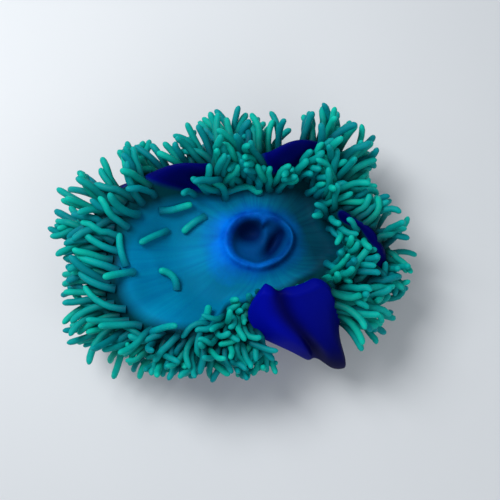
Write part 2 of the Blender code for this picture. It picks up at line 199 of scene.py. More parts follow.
def along(points, m):
    """The smooth curve through evenly spaced points, at m from 0 to 1."""
    p = np.array(points, float)
    s = np.clip(m, 0, 1) * (len(p) - 1)
    i = np.minimum(s.astype(int), len(p) - 2)
    t = (s - i)[:, None]
    return between(p[np.maximum(i - 1, 0)], p[i], p[i + 1], p[np.minimum(i + 2, len(p) - 1)], t)


def angle_from(theta, centre):
    """theta less centre, from -pi to pi."""
    return (theta - centre + math.pi) % (2 * math.pi) - math.pi


def oval(theta, long, short):
    """Distance from the middle of an oval to its edge."""
    return long * short / np.hypot(short * np.cos(theta), long * np.sin(theta))


def lip_distance(theta):
    """How far the outside of the lips is from the middle of the mouth."""
    return oval(theta, LIPS_LONG, LIPS_SHORT)


def margin_distance(theta):
    """How far the margin is from the middle of the mouth: a turned oval, a little scalloped."""
    c, s = math.cos(DISC_TURN), math.sin(DISC_TURN)
    mx, my = (c * MOUTH[0] + s * MOUTH[1]) / DISC_LONG, (c * MOUTH[1] - s * MOUTH[0]) / DISC_SHORT
    dx, dy = np.cos(theta - DISC_TURN) / DISC_LONG, np.sin(theta - DISC_TURN) / DISC_SHORT
    a, b, k = dx * dx + dy * dy, mx * dx + my * dy, mx * mx + my * my - 1
    plain = (np.sqrt(b * b - a * k) - b) / a
    scallops = sum(size * np.cos(order * theta - math.radians(turn)) for order, size, turn in SCALLOPS)
    return plain * (MARGIN_SHARE + scallops)


def flap_weight(theta):
    """1 in the middle of the flap and 0 past its soft edges."""
    t = np.clip((FLAP_HALF + FLAP_SOFT - np.abs(angle_from(theta, FLAP_BEARING))) / FLAP_SOFT, 0, 1)
    return t * t * (3 - 2 * t)


def bulge(m, theta):
    """How much of a bare bulge is there, from 0 to about 1, and how far it rises."""
    there, rise = 0, 0
    for bearing, half_bearing, middle, half_m, height in BULGES:
        off = angle_from(theta, math.radians(bearing)) / math.radians(half_bearing)
        share = np.exp(-(off**2) - ((m - middle) / half_m) ** 2)
        there = there + share
        rise = rise + share * height
    return there, rise


def crease_share(theta, outwards, wider=1):
    """How far a bearing is into the crease, at a share of the way out from where the crease begins."""
    bearing = CREASE_END + (CREASE_CREST - CREASE_END) * outwards
    width = wider * (CREASE_WIDTH + CREASE_WIDENS * (1 - outwards))
    return np.exp(-((angle_from(theta, bearing) / width) ** 2)) * np.minimum(1, 2 * outwards)


def around_mouth(rho, theta, z):
    """Points at those distances and bearings from the mouth, spread and pinched in plan along the flap."""
    off = angle_from(theta, FLAP_BEARING)
    t = np.clip(np.abs(off) / PINCH_REACH, 0, 1)
    outer = np.clip((rho - PINCH_FROM) / PINCH_OVER, 0, 1)
    spread = CREST_SPREAD * np.exp(-(((rho - CREST_DISTANCE) / CREST_RANGE) ** 2)) * off
    pinch = OUTER_PINCH * outer**2 * (3 - 2 * outer) * (off - PINCH_ASIDE)
    bearing = theta + (spread - pinch) * (1 - 3 * t**2 + 2 * t**3)
    return np.stack([MOUTH[0] + rho * np.cos(bearing), MOUTH[1] + rho * np.sin(bearing), z], 1)


def flesh(m, theta, w):
    """Points of the disc's flesh, one row for each m, theta and w."""
    m, theta, w = np.broadcast_arrays(*(np.atleast_1d(np.asarray(x, float)) for x in (m, theta, w)))
    crease = crease_share(theta, np.clip((m - CREASE_FROM) / (1 - CREASE_FROM), 0, 1))
    w = w + CREASE_DEPTH * crease * (1 - w)
    m = m * (1 - CREASE_DIP * crease)
    flap = flap_weight(theta)[:, None]
    shares = ((1 - flap) ** 2, 2 * flap * (1 - flap), flap**2)
    oral = sum(share * along(side, m) for share, side in zip(shares, (PLAIN_ORAL, FLANK_ORAL, FLAP_ORAL)))
    under = sum(share * along(side, m) for share, side in zip(shares, (PLAIN_UNDER, FLANK_UNDER, FLAP_UNDER)))
    skew = np.clip(angle_from(theta, FLAP_BEARING) / FLAP_SKEW_HALF, -1, 1)
    skew = skew * np.clip((m - FLAP_SKEW_FROM) / FLAP_SKEW_OVER, 0, 1)
    reach = margin_distance(theta) - lip_distance(theta)
    oral[:, 0] = (oral[:, 0] + FLAP_SKEW * flap[:, 0] * skew) * reach
    under[:, 0] = (under[:, 0] + FLAP_SKEW * flap[:, 0] * skew) * reach
    ruffle = sum(height * np.sin(waves * theta + turn) for waves, turn, height in RUFFLES)
    swell = bulge(m, theta)[1]
    rise = ruffle * np.clip((m - RUFFLE_FROM) / (1 - RUFFLE_FROM), 0, 1) ** 1.5 + swell
    rise = (1 - flap) * np.stack([BULGE_LEAN * swell, rise], 1)
    thick = oral - under
    swell = RIM_SWELL * np.sin(math.pi * w) * m**RIM_POWER
    end = np.stack([thick[:, 1], -thick[:, 0]], 1) * swell[:, None]
    flat = under + thick * w[:, None] + end + rise
    return around_mouth(lip_distance(theta) + flat[:, 0], theta, flat[:, 1])


# How far out the disc is bare: its mean m, then waves round the mouth, size, turn in degrees.
BARE_MEAN = 0.455
BARE_WAVES = ((1, 0.160, -142), (2, 0.137, 40), (3, 0.031, -82))
BARE_FADE = 0.12  # the m over which its colour gives way to the border's


def bare_until(theta):
    """The m where tentacles begin. The bare disc is widest to the left of the mouth and below it."""
    waves = sum(size * np.cos(order * theta - math.radians(turn)) for order, size, turn in BARE_WAVES)
    return BARE_MEAN + waves


def hollows(x, y):
    """How far (x, y), from the middle of the mouth, is in one of its two hollows. Between them is a ridge,
    which comes from the far lip."""
    depth = 0
    for (at_x, at_y, half_x, half_y), lean in ((LEFT_HOLLOW, 0), (RIGHT_HOLLOW, RIGHT_HOLLOW_LEAN)):
        depth = depth + np.exp(-(((x - at_x - lean * y) / half_x) ** 2) - ((y - at_y) / half_y) ** 2)
    ridge = np.exp(-(((x - RIDGE_X - RIDGE_LEAN * y) / RIDGE_WIDTH) ** 2))
    ridge = ridge / (1 + np.exp(-(y - RIDGE_END) / RIDGE_FADE))
    return np.clip(depth, 0, 1.1) * (1 - RIDGE_STRENGTH * ridge)


def pit_depth(x, y, edge):
    """How deep the mouth is at (x, y) from its middle. edge is 0 in the middle and 1 at the rim."""
    return (1 - edge**6) * (PIT_DEPTH + HOLLOW_DEPTH * hollows(x, y))


rows, sides, zones = [], [], []


def add_row(points, side, zone):
    """Adds one ring to the skin. side is 0 underneath and 1 on the oral side."""
    rows.append(points)
    sides.append(np.broadcast_to(side, BEARINGS))
    zones.append(np.broadcast_to(zone, BEARINGS))


def trunk_row(inward, share, z):
    """A ring of the foot or the column, a little wrinkled lengthwise."""
    reach = lip_distance(RING) + share * (margin_distance(RING) - lip_distance(RING))
    fine = FINE_WRINKLE_DEPTH * np.sin(31 * RING) * min(1, z / FINE_WRINKLES_ABOVE)
    wrinkle = 1 + WRINKLE_DEPTH * np.sin(9 * RING + 0.5) + fine
    return around_mouth(inward * reach * wrinkle, RING, np.full(BEARINGS, z))


for inward in SOLE_RINGS:
    add_row(trunk_row(inward, COLUMN_PROFILE[0][0], 0), 0, 0)
for share, z in along(COLUMN_PROFILE, np.linspace(0, 1, COLUMN_RINGS)):
    add_row(trunk_row(1, share, max(0, z)), 0, COLUMN_ZONE * z / COLUMN_PROFILE[-1][1])
junction = len(rows)
for m in np.linspace(UNDER_FROM, 1, UNDER_RINGS, endpoint=False):
    add_row(flesh(m, RING, 0), 0, COLUMN_ZONE + (1 - COLUMN_ZONE) * m)
for w in np.linspace(0, 1, RIM_RINGS, endpoint=False):
    add_row(flesh(1, RING, w), w, 1)
for m in np.linspace(1, 0, ORAL_RINGS, endpoint=False):
    add_row(flesh(m, RING, 1), 1, 2 - m)
lip_start = len(rows)
outer = lip_distance(RING)
inner = oval(RING, OPENING_LONG, OPENING_SHORT)
inner = inner * (1 + 0.035 * np.sin(3 * RING + 0.6) + 0.015 * np.sin(7 * RING))
opening = 1
for bearing, half_bearing, depth in LIP_NOTCHES:
    off = angle_from(RING, math.radians(bearing)) / math.radians(half_bearing)
    opening = opening - depth * np.exp(-(off**2))
inner = inner * opening
pucker = LIP_PUCKER * np.sin(23 * RING + 2 * np.sin(3 * RING))
lumps = 1 + 0.25 * np.cos(2 * RING + 0.5) + 0.13 * np.sin(5 * RING + 1.0) + 0.07 * np.sin(9 * RING)
for s in np.linspace(0, 1, LIP_RINGS):
    swell = math.sin(math.pi * s) ** 1.3
    height = LIP_BASE + (PIT_TOP - LIP_BASE) * s + LIP_SWELL * lumps * swell
    add_row(around_mouth(outer + (inner - outer) * s, RING, height + pucker * swell), 1, 2 + LIP_ZONE * s)
for s in np.linspace(1, 0, PIT_RINGS, endpoint=False)[1:]:
    points = around_mouth(inner * s, RING, np.full(BEARINGS, PIT_TOP))
    points[:, 2] -= pit_depth(points[:, 0] - MOUTH[0], points[:, 1] - MOUTH[1], s)
    add_row(points, 1, 3 - (1 - LIP_ZONE) * s)

grid = np.array(rows)


def ease_rows(first, last, rounds):
    """Relaxes the rings from first to last along the loft, so that two runs of rings join smoothly."""
    for _ in range(rounds):
        middle = (grid[first - 1 : last - 1] + grid[first + 1 : last + 1]) / 2
        grid[first:last] += 0.5 * (middle - grid[first:last])


# The column runs smoothly into the underside, the disc into the lips, and the lips into the pit.
ease_rows(junction - 8, junction + 8, 30)
ease_rows(lip_start - 6, lip_start + 4, 12)
ease_rows(lip_start + LIP_RINGS - 3, lip_start + LIP_RINGS + 4, 6)

sole = np.append(grid[0].mean(axis=0)[:2], 0)
pit_floor = np.append(MOUTH, PIT_TOP - pit_depth(0.0, 0.0, 0.0))
count = len(grid)
points = np.concatenate([grid.reshape(-1, 3), [sole, pit_floor]])
r, c = np.meshgrid(np.arange(count - 1), np.arange(BEARINGS), indexing="ij")
here, after = r * BEARINGS + c, r * BEARINGS + (c + 1) % BEARINGS
quads = np.stack([here, after, after + BEARINGS, here + BEARINGS], -1)
spans = np.linalg.norm(np.diff(grid, axis=0), axis=2).mean(axis=1)
row_v = np.concatenate([[0], np.cumsum(spans)]) / spans.sum() * (1 - 2 * UV_EDGE) + UV_EDGE
u0, u1 = c / BEARINGS, (c + 1) / BEARINGS
quad_uv = np.stack([
    np.stack([u0, row_v[r]], -1), np.stack([u1, row_v[r]], -1),
    np.stack([u1, row_v[r + 1]], -1), np.stack([u0, row_v[r + 1]], -1),
], -2)
ring = np.arange(BEARINGS)
following = (ring + 1) % BEARINGS
top = (count - 1) * BEARINGS
sole_fan = np.stack([np.full(BEARINGS, len(points) - 2), following, ring], -1)
pit_fan = np.stack([np.full(BEARINGS, len(points) - 1), top + ring, top + following], -1)
fan_u = np.stack([(ring + 0.5) / BEARINGS, ring / BEARINGS, (ring + 1) / BEARINGS], -1)
sole_uv = np.stack([fan_u[:, [0, 2, 1]], np.broadcast_to([0, row_v[0], row_v[0]], (BEARINGS, 3))], -1)
pit_uv = np.stack([fan_u, np.broadcast_to([1, row_v[-1], row_v[-1]], (BEARINGS, 3))], -1)

skin_mesh = bpy.data.meshes.new("skin")
faces = [*quads.reshape(-1, 4).tolist(), *sole_fan.tolist(), *pit_fan.tolist()]
skin_mesh.from_pydata(points.tolist(), [], faces)
layer = skin_mesh.uv_layers.new(name="OFBake")
corner_uv = np.concatenate([quad_uv.reshape(-1, 2), sole_uv.reshape(-1, 2), pit_uv.reshape(-1, 2)])
layer.uv.foreach_set("vector", corner_uv.astype(np.float32).ravel())


def store(mesh, name, values, kind="FLOAT"):
    """Stores one value for each vertex."""
    field = "vector" if kind == "FLOAT_VECTOR" else "value"
    made = mesh.attributes.new(name, kind, "POINT")
    made.data.foreach_set(field, np.asarray(values, np.float32).ravel())


# What the finish of the flesh reads: how far a point is on the oral side, in a blue patch, in the crease, in
# a hollow of the mouth or on the bare disc, and where it is along and round the loft.
# The patch, crease, hollow and bare values lay painted shade on the skin.
BLUE_FROM = 0.25
BLUE_OVER = 0.3
point_side = np.concatenate([np.array(sides).ravel(), [0, 1]])
point_zone = np.concatenate([np.array(zones).ravel(), [0, 3]])
point_theta = np.concatenate([np.tile(RING, count), [0, 0]])
point_m = np.where(point_side >= 1, 2 - point_zone, 1.0)
point_flap = flap_weight(point_theta)
blue = np.clip((bulge(point_m, point_theta)[0] - BLUE_FROM) / BLUE_OVER, 0, 1) * (1 - point_flap)
rolled = 1 - point_flap * np.clip((0.97 - point_side) / 0.1, 0, 1)
outwards = np.clip((np.minimum(point_zone, 1) - CREASE_FROM) / (1 - CREASE_FROM), 0, 1)
store(skin_mesh, "side", point_side * rolled * (1 - blue * (point_zone < 1.9)))
store(skin_mesh, "patch", blue)
store(skin_mesh, "crease", crease_share(point_theta, outwards, 1.3) * (point_side < 0.9))
store(skin_mesh, "hollow", hollows(points[:, 0] - MOUTH[0], points[:, 1] - MOUTH[1]) * (point_zone > 2))
store(skin_mesh, "bare", np.clip((bare_until(point_theta) - point_m) / BARE_FADE + 0.2, 0, 1))
store(skin_mesh, "zone", point_zone)
radial = np.stack([np.cos(point_theta), np.sin(point_theta), point_zone], -1)
store(skin_mesh, "radial", radial, "FLOAT_VECTOR")
skin_mesh.shade_smooth()
skin_mesh.validate()
skin = bpy.data.objects.new("skin", skin_mesh)
bpy.context.scene.collection.objects.link(skin)


class Wire:
    """An output of a node, which adds Math nodes to its tree as it is used in an expression."""

    def __init__(self, tree, socket):
        self.tree = tree
        self.socket = socket

    def maths(self, operation, *values):
        return self.tree.node("ShaderNodeMath", {"operation": operation}, dict(enumerate(values)))

    def __add__(self, other):
        return self.maths("ADD", self, other)

    def __sub__(self, other):
        return self.maths("SUBTRACT", self, other)

    def __rsub__(self, other):
        return self.maths("SUBTRACT", other, self)

    def __mul__(self, other):
        return self.maths("MULTIPLY", self, other)

    def clamped(self):
        return self.maths("MINIMUM", self.maths("MAXIMUM", self, 0.0), 1.0)

    def rising(self, low, high):
        """0 below low, 1 above high, and straight between."""
        return ((self - low) * (1 / (high - low))).clamped()

    __radd__ = __add__
    __rmul__ = __mul__


class Tree:
    """A node tree, whose nodes all come from one method."""

    def __init__(self, tree):
        self.tree = tree

    def node(self, kind, settings=(), sockets=(), output=0):
        """A node with its settings and the values or links of its sockets, as one of its outputs."""
        made = self.tree.nodes.new(kind)
        for name, value in dict(settings).items():
            setattr(made, name, value)
        for key, value in dict(sockets).items():
            self.feed(made.inputs[key], value)
        return Wire(self, made.outputs[output]) if len(made.outputs) else None

    def feed(self, target, value):
        if isinstance(value, Wire):
            self.tree.links.new(value.socket, target)
        else:
            target.default_value = value


def shade(red, green, blue):
    """A colour, given from 0 to 255, as the linear colour that a socket takes."""
    shares = [v / 255 for v in (red, green, blue)]
    return (*(((v + 0.055) / 1.055) ** 2.4 if v > 0.04 else v / 12.92 for v in shares), 1)


class Finish(Tree):
    """A material in the making: one Principled shader, and the nodes that feed it."""

    def __init__(self, name, **constants):
        self.material = bpy.data.materials.new(name)
        self.material.use_nodes = True
        super().__init__(self.material.node_tree)
        self.shader = self.tree.nodes["Principled BSDF"]
        self.wear(**constants)

    def attribute(self, name, output="Fac"):
        return self.node("ShaderNodeAttribute", {"attribute_name": name}, output=output)

    def mix(self, share, low, high):
        """The colour low where share is 0, and high where it is 1."""
        return self.node("ShaderNodeMix", {"data_type": "RGBA"}, {0: share, 6: low, 7: high}, output=2)

    def stretched(self, vector, scales):
        return self.node("ShaderNodeVectorMath", {"operation": "MULTIPLY"}, {0: vector, 1: scales})

    def mottle(self, vector, scale, detail=3.0, roughness=0.55):
        sockets = {"Vector": vector, "Scale": scale, "Detail": detail, "Roughness": roughness}
        return self.node("ShaderNodeTexNoise", {}, sockets)

    def wear(self, **sockets):
        """Feeds the shader's sockets, and gives the material."""
        for socket, value in sockets.items():
            self.feed(self.shader.inputs[socket.replace("_", " ")], value)
        return self.material


flesh_finish = Finish(
    "wet_flesh", Subsurface_Weight=0.10, Subsurface_Scale=0.004, Specular_IOR_Level=0.03
)
place = flesh_finish.node("ShaderNodeTexCoord", output="Object")
side = flesh_finish.attribute("side")
zone = flesh_finish.attribute("zone")
bare = flesh_finish.attribute("bare")
round_mouth = flesh_finish.attribute("radial", "Vector")
right = flesh_finish.node("ShaderNodeSeparateXYZ", {}, {0: place}, output="X")
away = flesh_finish.node("ShaderNodeSeparateXYZ", {}, {0: place}, output="Y")
streaks = flesh_finish.mottle(flesh_finish.stretched(round_mouth, (9.0, 9.0, 0.6)), 1.6, 4.0)
blotches = flesh_finish.mottle(place, 45.0)
clouds = flesh_finish.mottle(place, 16.0, 2.0)
grain = flesh_finish.mottle(place, 420.0, 2.0)
# Painted shade: the disc is lighter on its left and near side and darker towards its right and far side, as
# the light falls on it; its streaks and clouds are its own markings.
disc_lit_side = flesh_finish.mix(streaks.rising(0.30, 0.72), shade(0, 118, 178), shade(0, 160, 204))
disc_lit_side = flesh_finish.mix(clouds.rising(0.35, 0.65), shade(0, 112, 152), disc_lit_side)
disc_shaded_side = flesh_finish.mix(streaks.rising(0.30, 0.70), shade(0, 50, 72), shade(0, 68, 88))
disc_colour = flesh_finish.mix((right + away * 0.45).rising(0.015, 0.058), disc_lit_side, disc_shaded_side)
# Painted shade: the border under the tentacles is darker than the bare disc, and the bare value fades the one
# into the other; its blotches are its own mottling.
border_shade_colour = flesh_finish.mix(blotches.rising(0.35, 0.65), shade(0, 40, 52), shade(0, 64, 74))
oral_colour = flesh_finish.mix(bare, border_shade_colour, disc_colour)
# Painted shade on the blue underside and the flap: lighter on the left and darker to the right, and on the
# right darker further from the flap's crest; the clouds are its own mottling.
under_lit_side = flesh_finish.mix(clouds.rising(0.30, 0.70), shade(0, 6, 130), shade(0, 12, 180))
under_shaded_side = flesh_finish.mix(zone.rising(0.82, 0.97), shade(0, 2, 62), shade(0, 7, 116))
under_colour = flesh_finish.mix(right.rising(0.030, 0.070), under_lit_side, under_shaded_side)
# Painted shade: the blue folds are darkened, as pockets in shadow.
under_colour = flesh_finish.mix(flesh_finish.attribute("patch") * 0.8, under_colour, shade(0, 3, 70))
# Painted shade: darker along the crease between the flap's two lobes.
under_colour = flesh_finish.mix(flesh_finish.attribute("crease") * 0.85, under_colour, shade(0, 1, 52))
# Painted shade: the lips are lighter on the left and darker to the right; the blotches are their own
# mottling.
lips_lit_side = flesh_finish.mix(blotches.rising(0.38, 0.62), shade(0, 72, 186), shade(0, 118, 232))
lips_shaded_side = flesh_finish.mix(blotches.rising(0.38, 0.62), shade(0, 54, 116), shade(0, 84, 156))
lips_colour = flesh_finish.mix(right.rising(-0.005, 0.040), lips_lit_side, lips_shaded_side)
# Painted shade: the pit is darker in its two hollows.
in_hollow = flesh_finish.attribute("hollow").rising(0.12, 0.70)
pit_colour = flesh_finish.mix(in_hollow, shade(0, 70, 132), shade(0, 30, 84))
body_colour = flesh_finish.mix(side.rising(0.25, 0.75), under_colour, oral_colour)
body_colour = flesh_finish.mix((zone + blotches * 0.2).rising(1.94, 2.13), body_colour, lips_colour)
body_colour = flesh_finish.mix(zone.rising(2.26, 2.36), body_colour, pit_colour)
relief = streaks * side * 0.4 + blotches * 0.5 + grain * 0.2
bump = flesh_finish.node("ShaderNodeBump", {}, {"Strength": 0.25, "Distance": 0.0010, "Height": relief})
skin_mesh.materials.append(
    flesh_finish.wear(Base_Color=body_colour, Roughness=blotches * 0.2 + 0.50, Normal=bump)
)
flesh_nodes = sorted(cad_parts)
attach(skin, "root")
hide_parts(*flesh_nodes)

# ---------------------------------------------------------------------------------------------------------
# The tentacles. Some hundreds of soft, water-filled fingers of even thickness, with blunt, rounded ends, grow
# from the border of the disc. Each starts as a chain of points on the skin. The chains push off each other
# and off the skin until they lie as a crowd does, and Geometry Nodes turn each into a closed finger.

TENTACLE_RADIUS = 0.0026
TENTACLE_LENGTH = 0.031
SPACING = 0.0055
LINKS = 7  # points of a chain
RISE_INNER = math.radians(48)
RISE_MARGIN = math.radians(4)
DROOP = 0.25
LEAST_FACING = 0.35  # the cosine of a tentacle's angle with the skin's normal: a flatter one is turned up
ROOT_TRIES = 30000

# How the crowd lies round the mouth: bearing, turn from straight outwards in degrees, how wild it is, and its
# length as a share of the usual.
LAY = (
    (0, 8, 0.75, 1.15), (20, 12, 0.55, 0.9), (35, 8, 0.4, 1.15), (55, 2, 0.25, 1.0), (90, 0, 0.25, 1.05),
    (120, -16, 0.3, 1.1), (140, -24, 0.3, 0.95), (160, -34, 0.25, 1.05), (174, -10, 0.2, 1.25),
    (190, -4, 0.2, 0.9), (210, -16, 0.3, 1.25), (235, -5, 0.9, 0.95), (262, 10, 1.0, 1.0),
    (300, 20, 0.4, 0.9), (330, 16, 0.4, 1.1), (345, 10, 0.6, 0.9), (360, 8, 0.75, 1.15),
)

# Single tentacles that lie on the bare disc: root and tip from the middle of the mouth, and bend.
STRAYS = (
    ((-0.069, 0.0065), (-0.092, -0.003), 0.15),
    ((-0.060, -0.036), (-0.077, -0.026), 1.6),
    ((-0.095, -0.021), (-0.100, 0.0), -0.4),
    ((-0.090, -0.027), (-0.112, -0.033), 0.2),
    ((-0.077, -0.071), (-0.051, -0.054), -0.5),
    ((-0.040, -0.067), (-0.036, -0.047), 0.4),
    ((-0.025, 0.036), (0.004, 0.041), -0.3),
    ((-0.041, 0.018), (-0.056, 0.006), 0.3),
    ((-0.072, 0.021), (-0.050, 0.027), 0.6),
)
STRAY_RISE = 0.2
STRAY_DROOP = 0.15
STRAY_SLACK = 1.06

# The blue folds stay bare, but behind each wide one a fringe of longer tentacles stands at the margin.
WIDE_FOLD = 8  # half a fold's width in degrees, above which it is a wide one
FOLD_BARE = 0.38
FRINGE_TRIES = 2500
FRINGE_SPACING = 0.8 * SPACING
FRINGE_RISE = (0.3, 1.0)
FRINGE_LENGTH = 1.1

# The flap has short tentacles along its rim, and longer ones that lie off its right flank.
FLAP_ROOTS_FROM = 0.94
FLAP_LENGTH = 0.42
FLANK_AZIMUTH = math.radians(-22)

rng = random.Random(23)
noise.seed_set(7)
skin_tree = BVHTree.FromPolygons([Vector(p) for p in points], faces)
lay_bearings, lay_turns, lay_wild, lay_lengths = zip(*LAY)


def lay(bearing, values):
    """One of the lay's columns at a bearing."""
    return float(np.interp(math.degrees(bearing), lay_bearings, values))


def near_fold(bearing, wide, reach):
    """Whether a bearing is by a wide, or a narrow, fold, no further off than reach times half its width."""
    return any(
        abs(angle_from(bearing, math.radians(at))) < reach * math.radians(half)
        for at, half, *_ in BULGES if (half > WIDE_FOLD) == wide
    )


def in_fringe(m, bearing):
    """Whether a root is on the rim of the margin, behind a wide fold."""
    return m == 1.0 and near_fold(bearing, True, 1.0)


# The roots are thrown on the skin at random, evenly by area, and those too near to another are dropped.
oral_rows = [i for i in range(count) if sides[i][0] > 0.3 and zones[i][0] < 1.8]
candidates = [(i, j) for i in oral_rows for j in range(BEARINGS)]
east_edges = grid[oral_rows][:, following] - grid[oral_rows]
inward_edges = grid[np.array(oral_rows) + 1] - grid[oral_rows]
areas = np.linalg.norm(np.cross(east_edges, inward_edges), axis=2).ravel()
behind_folds = [
    (i, j) for i in range(count) for j in range(BEARINGS)
    if 0.15 < sides[i][j] < 0.98 and zones[i][j] < 1.8 and near_fold(RING[j], True, 1.0)
]
throws = rng.choices(behind_folds, k=FRINGE_TRIES)
throws += rng.choices(candidates, weights=areas.tolist(), k=ROOT_TRIES)
roots = []
taken = np.zeros((0, 3))
for i, j in throws:
    bearing = RING[j]
    m = 2 - zones[i][j] if sides[i][j] >= 1 else 1.0
    start = bare_until(bearing)
    s, t = rng.random(), rng.random()
    flap = float(flap_weight(bearing))
    flank = 0.1 < flap < 0.8 and angle_from(bearing, FLAP_BEARING) > 0
    if m < start or (flap > 0.25 and m < FLAP_ROOTS_FROM):
        continue
    if flap > 0.5 and sides[i][j] < 0.75 and not flank:
        continue
    if bulge(m, bearing)[0] > FOLD_BARE and flap < 0.3:
        continue
    here = grid[i, j] + s * (grid[i, following[j]] - grid[i, j]) + t * (grid[i + 1, j] - grid[i, j])
    apart = SPACING * (1.05 - 0.18 * lay(bearing, lay_wild)) * (1 + 0.5 * max(0, 1 - (m - start) / 0.1))
    if in_fringe(m, bearing):
        apart = FRINGE_SPACING
    if len(taken) and np.min(np.sum((taken - here) ** 2, axis=1)) < apart**2:
        continue
    if np.hypot(*(here[:2] - MOUTH)) < LIPS_LONG:
        continue
    taken = np.vstack([taken, here])
    root_uv = ((j + s) / BEARINGS, row_v[i] + t * (row_v[i + 1] - row_v[i]), 0)
    roots.append((here, bearing, m, flap, flank, root_uv))


def pointing(azimuth, rise):
    """The unit vector along an azimuth, that rises by an angle."""
    return Vector((math.cos(azimuth) * math.cos(rise), math.sin(azimuth) * math.cos(rise), math.sin(rise)))


def chain_from(here, heading, length, axis, bend, droop):
    """Points of a finger that starts at here and bends about axis as it goes, its end a little down."""
    chain = [Vector(here)]
    for k in range(LINKS - 1):
        way = heading.copy()
        way.rotate(Quaternion(axis, bend * k / (LINKS - 2)))
        way = (way + Vector((0, 0, -droop * k / (LINKS - 2)))).normalized()
        chain.append(chain[-1] + way * (length / (LINKS - 1)))
    return [tuple(p) for p in chain]


chains, lengths, girths, pales, uvs = [], [], [], [], []
for here, bearing, m, flap, flank, root_uv in roots:
    _, normal, _, _ = skin_tree.find_nearest(Vector(here))
    wild = lay(bearing, lay_wild)
    drift = noise.noise_vector(Vector(here) * 30)
    azimuth = math.atan2(here[1] - MOUTH[1], here[0] - MOUTH[0]) + math.radians(lay(bearing, lay_turns))
    azimuth = azimuth + drift.x * (0.4 + 0.8 * wild) + rng.gauss(0, 0.16 + 0.55 * wild)
    ahead = float(bulge(min(1, m + 0.16), bearing)[0]) * (1 - flap)
    rise = RISE_INNER + (RISE_MARGIN - RISE_INNER) * ((m - 0.3) / 0.7)
    rise = rise + 0.35 * drift.y + rng.gauss(0, 0.12 + 0.2 * wild)
    rise = min(1.45, rise + 0.25 * ahead)
    if flank:
        azimuth = FLANK_AZIMUTH + rng.gauss(0, 0.2)
        rise = rng.gauss(0.05, 0.15)
    length = TENTACLE_LENGTH * (1 - 0.20 * wild) * rng.uniform(0.82, 1.12)
    length *= lay(bearing, lay_lengths)
    length *= 1 - 0.2 * min(1, ahead)
    if in_fringe(m, bearing):
        rise = rng.uniform(*FRINGE_RISE)
        length *= FRINGE_LENGTH
    heading = pointing(azimuth, rise)
    if flap > 0.5 and not flank:
        heading = (normal - Vector((0, 0, 0.6)) + drift).normalized()
        length *= FLAP_LENGTH
    facing = heading.dot(normal)
    if facing < LEAST_FACING:
        heading = (heading + normal * (LEAST_FACING - facing)).normalized()
    axis = heading.cross(Vector([rng.uniform(-1, 1) for _ in range(3)])).normalized()
    bend = rng.uniform(0.1, 0.6) + rng.uniform(0.2, 1.7) * wild
    chains.append(chain_from(here, heading, length, axis, bend, DROOP))
    lengths.append(length / (LINKS - 1))
    girths.append(1.06 - 0.24 * wild)
    # A finger near the bare disc is pale: less painted shade at its root and more painted light along it.
    pales.append(0.8 * max(0, 1 - (m - bare_until(bearing)) / BARE_FADE))
    uvs.append(root_uv)

up = Vector((0, 0, 1))
for root, tip, bend in STRAYS:
    start, end = (Vector((MOUTH[0] + x, MOUTH[1] + y, 0.2)) for x, y in (root, tip))
    spot, normal, face_index, _ = skin_tree.ray_cast(start, -up)
    length = (end - start).length * STRAY_SLACK
    heading = (end - start) - normal * (end - start).dot(normal)
    heading = (heading.normalized() + STRAY_RISE * normal).normalized()
    heading.rotate(Quaternion(up, -bend / 2))
    chains.append(chain_from(spot, heading, length, up, bend, STRAY_DROOP))
    lengths.append(length / (LINKS - 1))
    girths.append(1.0)
    # A stray lies in the open, so it gets the full painted light.
    pales.append(1.0)
    row, column = divmod(face_index, BEARINGS)
    uvs.append((column / BEARINGS, row_v[row], 0))

# How the crowd settles: the share of the way that a chain springs back to its own shape in each round, the
# share of an overlap that it gives up, and how near the skin has to be to push it.
SETTLING_ROUNDS = 45
SPRING_BACK = 0.06
GIVE_WAY = 0.7
SKIN_NEAR = 0.008


def settled(chains, lengths):
    """The chains once they have pushed off each other and off the skin. Their roots and link lengths stay."""
    shapes = chains.copy()
    free = LINKS - 1
    for _ in range(SETTLING_ROUNDS):
        chains[:, 1:] += SPRING_BACK * (shapes[:, 1:] - chains[:, 1:])
        flat = chains[:, 1:].reshape(-1, 3)
        tree = KDTree(len(flat))
        for k, p in enumerate(flat):
            tree.insert(p, k)
        tree.balance()
        push = np.zeros_like(flat)
        for k, p in enumerate(flat):
            for q, other, gap in tree.find_range(p, 2 * TENTACLE_RADIUS):
                if other // free != k // free and gap > 1e-6:
                    push[k] += (p - np.array(q)) * (0.5 * (2 * TENTACLE_RADIUS - gap) / gap)
        flat = flat + GIVE_WAY * push
        for k, p in enumerate(flat):
            depth = TENTACLE_RADIUS * (0.6 if k % free == 0 else 1.0)
            spot, normal, _, gap = skin_tree.find_nearest(Vector(p), 0.01)
            if spot is None:
                continue
            above = (Vector(p) - spot).dot(normal)
            if above < depth and gap < SKIN_NEAR:
                flat[k] = p + np.array(normal) * (depth - above)
        chains[:, 1:] = flat.reshape(-1, free, 3)
        for k in range(1, LINKS):
            link = chains[:, k] - chains[:, k - 1]
            link *= (lengths / np.maximum(np.linalg.norm(link, axis=1), 1e-9))[:, None]
            chains[:, k] = chains[:, k - 1] + link
    return chains


chains = settled(np.array(chains), np.array(lengths))


def over_blue(p):
    """Whether a point of a tentacle lies over the flap or over a blue fold."""
    _, _, face_index, _ = skin_tree.ray_cast(Vector(p), -up)
    if face_index is None or face_index >= (count - 1) * BEARINGS:
        return False
    return bool(point_side[face_index] * (1 - blue[face_index]) < 0.4)


def points_allowed(bearing):
    """How many points of a tentacle may lie over blue: none by the long narrow fold, one by the small one."""
    if not near_fold(bearing, False, 2.2):
        return 4
    return 0 if math.cos(bearing) > 0 else 1


clear = [
    sum(over_blue(p) for p in chain[2:]) <= points_allowed(2 * math.pi * uv[0])
    for chain, uv in zip(chains, uvs)
]
chains, uvs, girths, pales = (np.array(values)[clear] for values in (chains, uvs, girths, pales))

